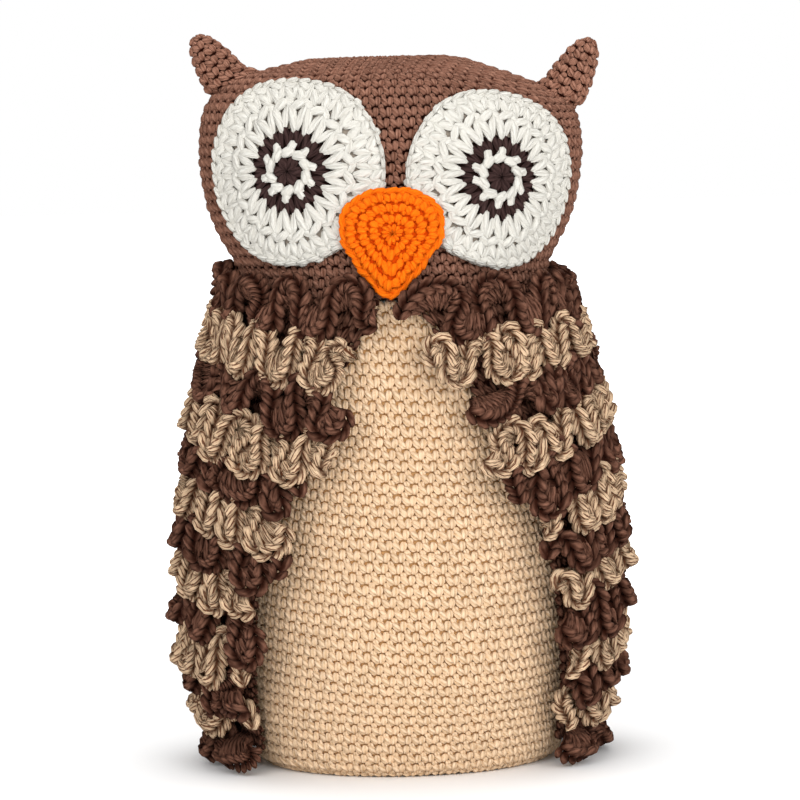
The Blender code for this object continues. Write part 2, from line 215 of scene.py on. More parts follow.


# colour is on the plies and shade between them; between the stitches, up to gapDepth of their height, a
# darker colour is painted on as shade
yarnLooks = {
    "tanYarn": dict(colour=(0.78, 0.585, 0.405), shade=(0.53, 0.335, 0.175), gap=(0.60, 0.340, 0.145),
                    gapDepth=0.34, twist=1.3, fibres=1.9, plyContrast=0.5, vary=0.10),
    "brownYarn": dict(colour=(0.315, 0.160, 0.110), shade=(0.098, 0.035, 0.020), gap=(0.038, 0.006, 0.002),
                      gapDepth=0.65, twist=1.3, fibres=2.6, plyContrast=0.45, vary=0.22, bump=1.0,
                      sheen=0.06),
    "wingYarn": dict(colour=(0.222, 0.104, 0.068), shade=(0.024, 0.006, 0.003), gap=(0.016, 0.003, 0.001),
                     gapDepth=0.75, twist=1.1, fibres=1.7, plyContrast=0.35, vary=0.22, bump=1.0, sheen=0.06),
    "marlYarn": dict(colour=(0.86, 0.63, 0.42), shade=(0.66, 0.43, 0.25), gap=(0.10, 0.034, 0.014),
                     gapDepth=0.45, second=(0.24, 0.110, 0.062), secondShade=(0.10, 0.038, 0.020),
                     bandPlies=2.5, bandShift=2.0, plies=18, twist=0.9, fibres=1.2, plyContrast=0.5,
                     vary=0.12, bump=1.0, sheen=0.06),
    "whiteYarn": dict(colour=(0.645, 0.63, 0.58), shade=(0.53, 0.505, 0.45), gap=(0.40, 0.34, 0.28),
                      gapDepth=0.35, twist=0.9, fibres=3.4, plyContrast=0.4, vary=0.05),
    "darkYarn": dict(colour=(0.055, 0.030, 0.028), shade=(0.018, 0.009, 0.008), gap=(0.012, 0.005, 0.004),
                     gapDepth=0.3, twist=1.2, fibres=3.4, plyContrast=0.5, vary=0.25),
    "orangeYarn": dict(colour=(0.87, 0.180, 0.006), shade=(0.76, 0.115, 0.002), gap=(0.62, 0.065, 0.001),
                       gapDepth=0.40, twist=1.3, fibres=3.2, plyContrast=0.45, vary=0.10, sheen=0.08),
}
yarns = {name: yarnMaterial(name, look) for name, look in yarnLooks.items()}


fibreLook = dict(
    # painted shade: the hollows between the tufts are greyer
    hollowShade=(0.72, 0.71, 0.68),
    tufts=(0.90, 0.90, 0.88),
    noise=(140, 5, 1.5),        # scale, detail and distortion
    bump=(0.8, 0.002),
)


def fillingMaterial():
    # the loose white fibre inside the covers, greyer in its hollows as painted shade
    material, tree, shader = newMaterial("fibreFilling")
    tufts = addNoise(tree, addNode(tree, "TexCoord", {})["Object"], *fibreLook["noise"])
    setInputs(tree, shader, {
        "Base Color": addMix(tree, tufts, fibreLook["hollowShade"], fibreLook["tufts"]),
        "Normal": addBump(tree, tufts, *fibreLook["bump"]),
        "Roughness": 1.0,
    })
    return material


filling = fillingMaterial()
nodes["body_filling"].data.materials.clear()
nodes["body_filling"].data.materials.append(filling)
print("yarns ready")


# stitches: each is modelled once, lying flat, x along its round, y up it and z off the work

strandLook = dict(
    blunt=0.6,          # below 1 a strand's ends are fuller than a ball's
    mapLength=6,        # millimetres of yarn along v
    mapShift=0.37,      # between the maps of two strands
    endFall=1.7,        # how fast a strand's ends fall into the painted gap shade
)


def addStrand(length, width, depth, at, lean=0.0, tilt=0.0, sides=6, rings=4):
    # a plump length of yarn, in millimetres: lean turns it on the work's face, tilt then turns it about y
    bpy.ops.mesh.primitive_uv_sphere_add(segments=sides, ring_count=rings, radius=1, location=(0, 0, 0))
    strand = bpy.context.object
    end = strand.data.attributes.new("end", "FLOAT", "POINT")
    for vertex in strand.data.vertices:
        end.data[vertex.index].value = abs(vertex.co.z)
        girth = math.hypot(vertex.co.x, vertex.co.y)
        if girth > 0.01:
            vertex.co.x *= girth ** (strandLook["blunt"] - 1)
            vertex.co.y *= girth ** (strandLook["blunt"] - 1)
    bpy.ops.object.mode_set(mode="EDIT")
    bpy.ops.mesh.select_all(action="SELECT")
    bpy.ops.transform.rotate(value=math.pi / 2, orient_axis="X", center_override=(0, 0, 0))
    bpy.ops.transform.resize(value=(width / 2000, length / 2000, depth / 2000), center_override=(0, 0, 0))
    bpy.ops.transform.rotate(value=lean, orient_axis="Z", center_override=(0, 0, 0))
    if tilt:
        bpy.ops.transform.rotate(value=tilt, orient_axis="Y", center_override=(0, 0, 0))
    bpy.ops.transform.translate(value=[place / 1000 for place in at])
    bpy.ops.object.mode_set(mode="OBJECT")
    return strand


def makeStitch(name, cell, strands):
    # the cell is in metres, and each strand lists what addStrand takes
    made = []
    for index, strand in enumerate(strands):
        one = addStrand(*strand)
        for loop in one.data.uv_layers[0].data:
            loop.uv = (loop.uv[0] + strandLook["mapShift"] * index,
                       loop.uv[1] * strand[0] / strandLook["mapLength"])
        made.append(one)
    stitch = joinPieces(name, made)
    mesh = stitch.data
    points = np.array([v.co for v in mesh.vertices])
    ends = np.array([entry.value for entry in mesh.attributes["end"].data])
    raised = np.abs(points[:, 2])
    # how far each point is out of the painted gap shade: by its height, and less near a strand's ends
    unshaded = np.minimum(raised / raised.max(), strandLook["endFall"] * (1 - ends))
    points[:, 0] /= cell[0]
    points[:, 1] /= cell[1]
    pattern = dict(
        cell=cell,
        unshaded=unshaded,          # 0 in the gaps, where the painted shade is full, 1 where the stitch stands out furthest and has none
        points=points,
        corners=np.array([loop.vertex_index for loop in mesh.loops]),
        starts=np.array([polygon.loop_start for polygon in mesh.polygons]),
        uvs=np.array([loop.uv[:] for loop in mesh.uv_layers[0].data]),
    )
    bpy.data.objects.remove(stitch)
    return pattern


def measureNormals(surface, u, v, cell, step=0.06):
    across = surface(u + step, v, cell) - surface(u - step, v, cell)
    upward = surface(u, v + step, cell) - surface(u, v - step, cell)
    return unit(np.cross(across, upward))


def addValues(mesh, name, values):
    attribute = mesh.attributes.new(name, "FLOAT", "POINT")
    attribute.data.foreach_set("value", values.astype(np.float32))


def layStitches(name, stitch, surface, columns, material, bulk=1.0, wobble=0.12, sway=0.05, shade=0.0):
    # puts a copy of the stitch at every column, in its own round, and bends it to the surface
    points, corners, starts = (stitch[key] for key in ("points", "corners", "starts"))
    count, size = len(columns), len(points)
    thick = bulk * (1 + wobble * chance.uniform(-1, 1, count))
    shiftX, shiftY = wobble * handwork["shift"] * chance.uniform(-1, 1, (2, count))
    swing = sway * chance.uniform(-1, 1, count)[:, None]
    width, height = stitch["cell"]
    x, y, z = points.T
    u = ((columns + shiftX)[:, None] + x - swing * y * height / width).ravel()
    v = (shiftY[:, None] + y + swing * x * width / height).ravel()
    cell = np.repeat(np.arange(count), size)
    normal = measureNormals(surface, u, v, cell)
    place = surface(u, v, cell) + normal * (z * thick[:, None]).ravel()[:, None]
    place[:, 2] = np.maximum(place[:, 2], handwork["floor"])
    mesh = bpy.data.meshes.new(name)
    mesh.vertices.add(count * size)
    mesh.vertices.foreach_set("co", place.astype(np.float32).ravel())
    copy = np.arange(count)[:, None]
    mesh.loops.add(count * len(corners))
    mesh.loops.foreach_set("vertex_index", (corners + size * copy).ravel())
    mesh.polygons.add(count * len(starts))
    mesh.polygons.foreach_set("loop_start", (starts + len(corners) * copy).ravel())
    mesh.polygons.foreach_set("use_smooth", np.ones(count * len(starts), bool))
    uvs = np.tile(stitch["uvs"], (count, 1)).astype(np.float32)
    mesh.uv_layers.new(name="yarn").data.foreach_set("uv", uvs.ravel())
    # each stitch's random tone, plus the piece's offset, which paints a whole piece darker as shade or
    # lighter as light
    addValues(mesh, "toneAndShade", np.repeat(chance.random(count) + shade, size))
    addValues(mesh, "unshaded", np.tile(stitch["unshaded"], count))
    mesh.update(calc_edges=True)
    mesh.materials.append(material)
    piece = bpy.data.objects.new(name, mesh)
    bpy.context.scene.collection.objects.link(piece)
    return piece


def listStitches(rows):
    # one entry per stitch, out of each row's first column, number of stitches and place
    firsts, counts, places = zip(*rows)
    columns = np.concatenate([first + np.arange(count) for first, count in zip(firsts, counts)])
    return columns, np.repeat(np.array(counts, float), counts), np.repeat(places, counts)


def sphereTurns(points):
    # of a unit sphere's points: the share of the way up, and the turns from the front to the owl's left
    up = 1 - np.arccos(np.clip(points[:, 2], -1, 1)) / math.pi
    return up, np.arctan2(points[:, 0], -points[:, 1]) / (2 * math.pi)


def dressPlain(mesh, material, shade=0.0):
    # one tone all over, painted with the full gap shade that shows between the stitches
    mesh.uv_layers[0].name = "yarn"
    for key, value in (("toneAndShade", shade), ("unshaded", 0.0)):
        addValues(mesh, key, np.full(len(mesh.vertices), value))
    mesh.materials.append(material)


def layCore(name, place, material, shade, segments, rings):
    # a closed skin behind the stitches, painted with the gap shade: place gets each point of a unit sphere
    bpy.ops.mesh.primitive_uv_sphere_add(segments=segments, ring_count=rings, radius=1, location=(0, 0, 0))
    core = bpy.context.object
    core.name = name
    mesh = core.data
    points = place(np.array([v.co for v in mesh.vertices]))
    mesh.vertices.foreach_set("co", points.astype(np.float32).ravel())
    dressPlain(mesh, material, shade)
    smoothAll(core)
    return core


def laySheet(name, place, columns, rows, material, thickness):
    # a thin closed sheet behind the stitches, painted with the gap shade, and its size before it was hung
    deselectAll()
    bpy.ops.mesh.primitive_grid_add(x_subdivisions=columns, y_subdivisions=rows, size=2, location=(0, 0, 0))
    sheet = bpy.context.object
    sheet.name = name
    mesh = sheet.data
    flat = np.array([v.co for v in mesh.vertices])
    points = place((flat[:, 0] + 1) / 2, (flat[:, 1] + 1) / 2)
    mesh.vertices.foreach_set("co", points.astype(np.float32).ravel())
    mesh.update()
    area = sum(polygon.area for polygon in mesh.polygons)
    grid = points.reshape(rows + 1, columns + 1, 3)
    width = np.linalg.norm(np.diff(grid, axis=1), axis=2).sum(axis=1).max()
    length = np.linalg.norm(np.diff(grid, axis=0), axis=2).sum(axis=0).mean()
    dressPlain(mesh, material)
    bpy.ops.object.modifier_add(type="SOLIDIFY")
    solid = sheet.modifiers[-1]
    solid.thickness = thickness
    solid.offset = 0
    bpy.ops.object.modifier_apply(modifier=solid.name)
    smoothAll(sheet)
    return sheet, (float(width), float(length)), float(area)


def finishSheet(made):
    sheet, flat, area = made
    print(sheet.name, [round(side, 3) for side in flat], round(area, 4))
    return sheet


def finishPiece(name, parts, body, replaced):
    piece = joinPieces(name, parts)
    if body:
        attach(piece, body)
    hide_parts(*replaced)
    print(name, len(piece.data.polygons), "faces")
    return piece


singleCell = (0.007, 0.0056)      # width of a single crochet and height of its round
singleCrochet = makeStitch("singleCrochet", singleCell, [
    (5.9, 4, 4, (-1.7, 0.3, 0.3), -0.60),
    (5.6, 4.2, 3.8, (1.4, 0.5, 0.3), 0.34),
    (3.2, 3.7, 3.2, (3.4, -2.4, 0.1)),
    (3, 3.2, 3, (3.6, 1.8, -0.9), 0, 0, 5, 3),
])
chainCell = (0.0062, 0.0050)      # the braid along a finished edge, seen from outside it
edgeChain = makeStitch("edgeChain", chainCell, [
    (7.8, 2.8, 2.8, (0, 0, 1.2), math.pi / 2, 0.26),
    (7.8, 2.8, 2.8, (2, 0, -1.2), math.pi / 2, -0.26),
])
print("stitches ready")


# the stuffed tube: body below the neck, head above it

tubeShape = dict(
    samples=170,
    sampleMargin=0.0003,        # from the first and last sample to the cover's ends
    baseSamples=24,
    crownSamples=12,
    missed=0.01,        # a smaller reach is a miss, as in the seam gap at the neck
    smoothing=7,        # samples, to round off the frame's facets
    unsmoothed=6,       # samples that keep the base's edge
    normalStep=0.0008,
    baseLift=0.0016,    # keeps the base's stitches above the floor
    lining=-0.0007,     # the skin behind the stitches
    fibre=-0.0050,      # the head's filling, pressed in with the crown
    poleMargin=0.0012,  # from the tube's ends to the skin's last rings
    stitchesRound=72,
    tightest=0.90,      # share of a stitch's width, below which a round has fewer stitches
    fewest=6,
    rowLean=0.17,       # stitches that each round moves on
    tilt=0.0038,        # the rounds lie lower at the owl's left
    sag=0.0065,         # and lower at the front of the belly
    sagHeights=(0.004, 0.055, 0.185, 0.236),
    crownTilt=0.15,     # the crown slopes down to the owl's left
    crownHeights=(0.312, 0.350),
    crownFall=(0.026, 0.080),           # the slope starts and ends at these places across
    crownPress=(0.348, 0.84),           # what lies above this height is pressed to this share
    lean=-0.0016,       # the head sits a little to the owl's right
    leanHeights=(0.20, 0.27),
)


def measureTube():
    # the CAD covers' half width, half depth and height, along a line from the base's centre to the crown's
    trees = []
    for name in ("body_cover", "head_cover"):
        mesh = nodes[name].data
        trees.append(BVHTree.FromPolygons([v.co for v in mesh.vertices], [p.vertices for p in mesh.polygons]))

    def reach(direction, height):
        far = Vector(direction) + Vector((0, 0, height))
        hits = [tree.ray_cast(far, -Vector(direction))[0] for tree in trees]
        return max((abs(hit.x) + abs(hit.y) for hit in hits if hit), default=0)

    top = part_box("head_cover")[1].z
    margin, kept = tubeShape["sampleMargin"], tubeShape["unsmoothed"]
    heights = np.linspace(margin, top - margin, tubeShape["samples"])
    widths = np.array([reach((1, 0, 0), z) for z in heights])
    depths = np.array([reach((0, 1, 0), z) for z in heights])
    window = np.hanning(tubeShape["smoothing"] + 2)[1:-1]
    window /= window.sum()
    pad = tubeShape["smoothing"] // 2
    for values in (widths, depths):
        missed = values < tubeShape["missed"]
        values[missed] = np.interp(heights[missed], heights[~missed], values[~missed])
        values[kept:] = np.convolve(np.pad(values, pad, mode="edge"), window, mode="valid")[kept:]
    base = np.linspace(0, 1, tubeShape["baseSamples"])[:-1]
    crown = np.linspace(1, 0, tubeShape["crownSamples"])[1:]
    a = np.concatenate([base * widths[0], widths, crown * widths[-1]])
    b = np.concatenate([base * depths[0], depths, crown * depths[-1]])
    z = np.concatenate([np.zeros(len(base)), heights, np.full(len(crown), top)])
    z = np.maximum(z, tubeShape["baseLift"])
    steps = np.hypot(np.diff((a + b) / 2), np.diff(z))
    s = np.concatenate([[0], np.cumsum(np.maximum(steps, 1e-7))])
    side = slice(len(base), len(base) + len(heights))
    neck = float(np.interp(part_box("body_cover")[1].z, z[side], s[side]))
    return dict(s=s, a=a, b=b, z=z, neck=neck, heights=heights, widths=widths, depths=depths, sideS=s[side])


tube = measureTube()


def tubeSizes(s):
    return tuple(np.interp(s, tube["s"], tube[key]) for key in ("a", "b", "z"))


def tubeSurface(s, turns):
    # s runs up from the base's centre in metres, turns is 0 at the front and a quarter at the owl's left
    a, b, z = tubeSizes(s)
    a, b = np.maximum(a, 1e-4), np.maximum(b, 1e-4)
    phi = 2 * math.pi * turns
    turn = phi - (a * a - b * b) / (a * a + b * b) / 4 * np.sin(2 * phi)
    x = a * np.sin(turn) + tubeShape["lean"] * ease(np.interp(z, tubeShape["leanHeights"], [0, 1]))
    pressFrom, pressed = tubeShape["crownPress"]
    z = z - (1 - pressed) * np.maximum(z - pressFrom, 0)
    tilt = tubeShape["crownTilt"] * ease(np.interp(z, tubeShape["crownHeights"], [0, 1]))
    fallFrom, fallTo = tubeShape["crownFall"]
    return np.stack([x, -b * np.cos(turn), z - tilt * (np.clip(x, fallFrom, fallTo) - fallFrom)], 1)


def tubeLifted(s, turns, lift):
    def surface(u, v, _):
        return tubeSurface(v, u)

    normal = measureNormals(surface, turns, s, None, tubeShape["normalStep"])
    return tubeSurface(s, turns) + normal * np.asarray(lift)[..., None]


def layRounds(name, start, end, material):
    width, height = singleCell
    rowCount = round((end - start) / height)
    pitch = (end - start) / rowCount
    rows = []
    for row in range(rowCount):
        middle = start + (row + 0.5) * pitch
        a, b, _ = tubeSizes(middle)
        perimeter = 2 * math.pi * math.sqrt((a * a + b * b) / 2)
        count = tubeShape["stitchesRound"]
        if perimeter < count * width * tubeShape["tightest"]:
            count = max(tubeShape["fewest"], round(perimeter / width))
        rows.append((row * tubeShape["rowLean"], count, middle))
    columns, counts, middles = listStitches(rows)

    def surface(u, v, cell):
        turns = u / counts[cell]
        s = middles[cell] + v * pitch
        phi = 2 * math.pi * turns
        hang = np.interp(tubeSizes(s)[2], tubeShape["sagHeights"], [0, 1, 1, 0])
        s = s - hang * (tubeShape["tilt"] * np.sin(phi) + tubeShape["sag"] * np.cos(phi))
        return tubeSurface(s, turns)

    return layStitches(name, singleCrochet, surface, columns, material)


def layLining(name, start, end, material, shade, lift=tubeShape["lining"]):
    margin = tubeShape["poleMargin"]

    def place(points):
        up, turns = sphereTurns(points)
        s = np.clip(start + (end - start) * up, margin, tube["s"][-1] - margin)
        placed = tubeLifted(s, turns, np.full(len(points), lift))
        placed[(up < 0.001) | (up > 0.999), :2] = 0         # the skin's two poles
        return placed

    return layCore(name, place, material, shade, 72, 60)


# painted shade: each lining shows between the stitches in its yarn's gap shade
finishPiece("crocheted_body", [
    layLining("bodyLining", 0, tube["neck"], yarns["tanYarn"], 0.0),
    layRounds("bodyRounds", 0, tube["neck"], yarns["tanYarn"]),
], "torso", ["body_cover"])
finishPiece("crocheted_head", [
    # painted shade: the head's lining is darker still, for the deep shade between its stitches
    layLining("headLining", tube["neck"], tube["s"][-1], yarns["brownYarn"], -2.0),
    layRounds("headRounds", tube["neck"], tube["s"][-1], yarns["brownYarn"]),
], "torso", ["head_cover"])
finishPiece("head_fibre", [
    layLining("fibre", tube["neck"], tube["s"][-1], filling, 0.0, tubeShape["fibre"]),
], "torso", ["head_filling"])


# ears: a cone in rounds on each corner of the crown

earShape = dict(
    length=dict(left=0.034, right=0.031),
    tilt=dict(left=math.radians(30), right=math.radians(34)),
    place=dict(left=(0.0850, 0.3342), right=(-0.0816, 0.3443)),     # x and height of its root
    outline=[               # radius, and height as a share of the length
        (0.0130, -0.40), (0.0118, -0.14), (0.0110, 0.05), (0.0102, 0.25), (0.0092, 0.47), (0.0076, 0.68),
        (0.0056, 0.86), (0.0030, 0.96), (0.0001, 1.0),
    ],
    flatness=0.80,
    inward=0.55,            # how fast the root leans in below the ear
    inwardHeight=0.006,     # above the root, where that starts
    roundHeight=0.0052,
    stitchWidth=0.0064,
    girth=0.9,              # share of a round cone's that the flattened one has
    fewest=4,
    rowLean=0.4,            # stitches that each round moves on
    bulk=0.85,
    # painted light: the ear stitches are lighter than the head's in the same yarn, for the light that falls
    # on the ears
    shade=0.7,
    coreReach=0.97,
    coreInset=0.0010,
    # painted shade: the core shows darker between the ear stitches
    coreShade=-0.8,
)


def makeEar(side):
    radii, levels = np.array(earShape["outline"]).T
    levels = levels * earShape["length"][side]
    track = np.concatenate([[0], np.cumsum(np.hypot(np.diff(radii), np.diff(levels)))])
    rowCount = round(track[-1] / earShape["roundHeight"])
    pitch = track[-1] / rowCount
    x, height = earShape["place"][side]
    tilt = math.copysign(earShape["tilt"][side], x)
    inward = math.copysign(earShape["inward"], x)

    def cone(s, turns, inset=0.0):
        radius = np.maximum(np.interp(s, track, radii) - inset, 1e-4)
        level = np.interp(s, track, levels)
        localX = radius * np.sin(2 * math.pi * turns)
        localX = localX - inward * np.maximum(earShape["inwardHeight"] - level, 0)
        localY = -radius * earShape["flatness"] * np.cos(2 * math.pi * turns)
        return np.stack([x + localX * math.cos(tilt) + level * math.sin(tilt), localY,
                         height - localX * math.sin(tilt) + level * math.cos(tilt)], 1)

    rows = []
    for row in range(rowCount):
        middle = (row + 0.5) * pitch
        girth = 2 * math.pi * float(np.interp(middle, track, radii)) * earShape["girth"]
        count = max(earShape["fewest"], round(girth / earShape["stitchWidth"]))
        rows.append((earShape["rowLean"] * row, count, middle))
    columns, counts, middles = listStitches(rows)

    def surface(u, v, cell):
        return cone(middles[cell] + v * pitch, u / counts[cell])

    def place(points):
        up, turns = sphereTurns(points)
        placed = cone(track[-1] * up * earShape["coreReach"], turns, earShape["coreInset"])
        placed[up < 0.001] = cone(np.zeros(1), np.zeros(1), radii[0])[0]        # the middle of the root
        return placed

    brown = yarns["brownYarn"]
    rounds = layStitches(side + "EarRounds", singleCrochet, surface, columns, brown, bulk=earShape["bulk"],
                         shade=earShape["shade"])
    core = layCore(side + "EarCore", place, brown, earShape["coreShade"], 20, 16)
    finishPiece(side + "_crocheted_ear", [core, rounds], "torso", [side + "_ear"])


makeEar("left")
makeEar("right")


# eyes: flat discs worked from a dark centre outwards and sewn on the face

eyeShape = dict(
    drift=dict(left=0.0032, right=-0.0033),     # how far the pupil lies off the disc's middle
    drop=dict(left=-0.0017, right=0.0),
    stretch=dict(left=0.07, right=0.10),        # how much taller than wide the dark rings are
    radius=dict(left=0.0455, right=0.0470),
    backing=(0.0012, 0.0030),       # from the head's surface to the backing's two faces
    backingInset=0.003,
    # painted shade: the white backing is darker where it shows between the disc's stitches
    backingShade=-0.5,
    darkRadius=0.0212,
    darkBacking=(0.0020, 0.0037),
    strands=0.0042,                 # from the head's surface to the middle of the strands
    rings=dict(                     # inner and outer radius, stitches, lift from there, and sway
        pupil=(0.0, 0.0070, 6, 0.0004, 0.05),
        inner=(0.0066, 0.0134, 10, 0.0003, 0.20),
        dark=(0.0106, 0.0206, 20, -0.0003, 0.12),
        first=(0.0166, 0.0316, 20, 0.0001, 0.12),
        second=(0.0296, None, 34, -0.0003, 0.22),       # runs out to the hem
    ),
    hem=0.0015,                     # from the second ring's hem to the disc's radius
    hemOverlap=0.0002,
    edgeReach=(0.0030, 0.0018),     # in and out from the hem
    edgeStitches=46,
    edge=0.0040,                    # from the head's surface to the chain
)
pupilCell = (0.0040, 0.0062)
pupilStitch = makeStitch("pupilStitch", pupilCell, [
    (7, 3.4, 3.4, (-1, 0.2, 0), -0.2),
    (6.6, 3.4, 3, (1.2, 0.5, -0.4), 0.35),
])
ringCell = (0.0054, 0.0062)
ringStitch = makeStitch("ringStitch", ringCell, [
    (7.4, 3, 3, (-1.3, 0.4, 0.3), -0.45),
    (7.4, 3, 3, (1.3, 0.4, 0), 0.30),
    (6, 2.2, 2, (2.6, 3, -0.6), 0.05, 0, 4, 4),
])
beadStitch = makeStitch("beadStitch", ringCell, [
    (7.2, 4.6, 4, (0, -0.7, 0.3), 1.25),
    (6.4, 3.4, 3.4, (1, 1.3, 0), 0.25),
])
innerCell = (0.0074, 0.0140)
innerDouble = makeStitch("innerDouble", innerCell, [     # both strands run into one point at the dark ring
    (12.4, 4.4, 3.6, (-1.8, -1, 0.5), -0.24, 0, 6, 5),
    (11.8, 4.4, 3.4, (1.8, -0.6, 0.1), 0.28, 0, 6, 5),
    (7.4, 4.2, 3, (0, 4.8, 0.7), 0.95),
    (7.2, 4, 2.8, (3.4, 5.2, 0.3), -0.80),
])
outerCell = (0.0066, 0.0130)
outerDouble = makeStitch("outerDouble", outerCell, [
    (9.2, 5, 3.4, (-1.2, -2.2, 0.2), -0.28),
    (8.4, 4.6, 3.2, (2, -1, 0), 0.38),
    (8, 4.6, 3.2, (-1, 3.4, 0.4), -0.75),
    (7.8, 4.4, 3, (2.1, 3.8, 0.1), 0.50),
])


def faceCentre(node):
    low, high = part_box(node)
    middle = (low + high) / 2
    return middle.x, float(np.interp(middle.z, tube["heights"], tube["sideS"]))


def faceSurface(centre, across, up, lift):
    # across and up are measured along the head's surface from the centre
    s = centre[1] + up
    a, b, _ = tubeSizes(s)
    turn = np.arcsin(np.clip((centre[0] - tubeShape["lean"]) / a, -1, 1))
    phi = turn + (a * a - b * b) / (a * a + b * b) / 4 * np.sin(2 * turn)
    perimeter = 2 * math.pi * np.sqrt((a * a + b * b) / 2)
    return tubeLifted(s, phi / (2 * math.pi) + across / perimeter, lift)


def layRing(name, stitch, centre, inner, outer, count, material, lift, start=0.0, drift=(0.0, 0.0, 1.0),
            **extra):
    # drift moves the middle of a disc sideways, makes it taller and leaves its edge where it is
    def surface(u, v, cell):
        radius = np.maximum((inner + outer) / 2 + v * (outer - inner), 1e-4)
        angle = 2 * math.pi * u / count
        share = np.minimum(radius / drift[2], 1)
        across = radius * np.sin(angle) + drift[0] * (1 - share)
        up = radius * np.cos(angle) * (1 + drift[1] * 4 * share * (1 - share))
        return faceSurface(centre, across, up, np.full(len(u), lift))

    return layStitches(name, stitch, surface, np.arange(count) + start, material, **extra)


def layBacking(name, centre, radius, low, high, material, shade):
    def place(points):
        lift = (low + high) / 2 + points[:, 2] * (high - low) / 2
        return faceSurface(centre, points[:, 0] * radius, points[:, 1] * radius, lift)

    return layCore(name, place, material, shade, 32, 10)


def makeEye(side):
    x, s = faceCentre(side + "_eye_pupil")
    centre = (x, s + eyeShape["drop"][side])
    radius = eyeShape["radius"][side]
    hem = radius - eyeShape["hem"]
    inward, outward = eyeShape["edgeReach"]
    drift = (eyeShape["drift"][side], eyeShape["stretch"][side], radius)
    dark, white = yarns["darkYarn"], yarns["whiteYarn"]

    def ring(kind, stitch, material, start=0.0):
        inner, outer, count, raised, sway = eyeShape["rings"][kind]
        return layRing(kind, stitch, centre, inner, outer or hem + eyeShape["hemOverlap"], count, material,
                       eyeShape["strands"] + raised, start, drift, sway=sway)

    def finish(kind, slot, *parts):
        finishPiece(f"{side}_crocheted_{kind}", parts, "torso", [f"{side}_eye_{kind}"])

    finish("pupil", "dark_yarn", ring("pupil", pupilStitch, dark))
    finish("inner_ring", "white_yarn", ring("inner", beadStitch, white))
    # painted shade: both backings show their yarn's gap shade between the stitches
    finish("dark_ring", "dark_yarn",
           layBacking("darkBacking", (x + drift[0] / 2, centre[1]), eyeShape["darkRadius"],
                      *eyeShape["darkBacking"], dark, 0.0),
           ring("dark", ringStitch, dark))
    finish("disc", "white_yarn",
           layBacking("backing", centre, radius - eyeShape["backingInset"], *eyeShape["backing"], white,
                      eyeShape["backingShade"]),
           ring("first", innerDouble, white, 0.5),
           ring("second", outerDouble, white),
           layRing("edge", edgeChain, centre, hem - inward, hem + outward, eyeShape["edgeStitches"], white,
                   eyeShape["edge"]))


makeEye("left")
makeEye("right")


# beak: a padded shield in rounds, its edge a braid

beakShape = dict(
    reach=0.0292,
    shares=(1.0, 0.754, 0.689, 0.813, 0.918, 0.87, 0.803),     # of the reach, from the tip round to the top
    place=(-0.0018, 0.2664),    # x and height of its centre
    seat=0.0062,                # from the head's surface to the rounds' edge
    bulge=0.00525,
    skew=0.08,                  # how far the tip leans to the owl's right, as a share of its reach
    rounds=4,
    roundsReach=0.885,          # share of the outline that the rounds fill inside the braid
    firstRound=0.6,             # of a stitch's height, from the centre to the first round
    fewest=6,
    roundLean=0.3,              # stitches that each round moves on
    eye=0.004,                  # share of the reach at which the middle closes
    braidCount=25,
    braidLift=0.0074,
    braidInset=0.0016,
    coreReach=0.93,
    coreInset=0.0004,
)
beakCell = (0.0064, 0.0056)
beakStitch = makeStitch("beakStitch", beakCell, [
    (5.2, 3.8, 4.8, (-1.5, 0, 0.2), -0.62),
    (5, 4, 5, (1.4, 0.2, 0.4), 0.30),
    (3.4, 3.4, 3.4, (3.2, -1.8, -0.1), 0, 0, 5, 4),
])
braidCell = (0.0062, 0.0046)
braidStitch = makeStitch("braidStitch", braidCell, [
    (9.8, 3.6, 4, (-0.3, 0.6, 0.4), 1.42),
    (8.6, 3.4, 3.8, (0.5, -1.4, 0.2), -1.15),
])


def beakOutline(angle):
    # angle is 0 at the top and half a turn at the tip
    position = np.abs(np.abs((angle + math.pi) % (2 * math.pi) - math.pi) - math.pi) / math.pi * 6
    index = np.minimum(position.astype(int), 5)
    shares = np.array(beakShape["shares"])
    share = (1 - np.cos((position - index) * math.pi)) / 2
    return beakShape["reach"] * (shares[index] * (1 - share) + shares[index + 1] * share)


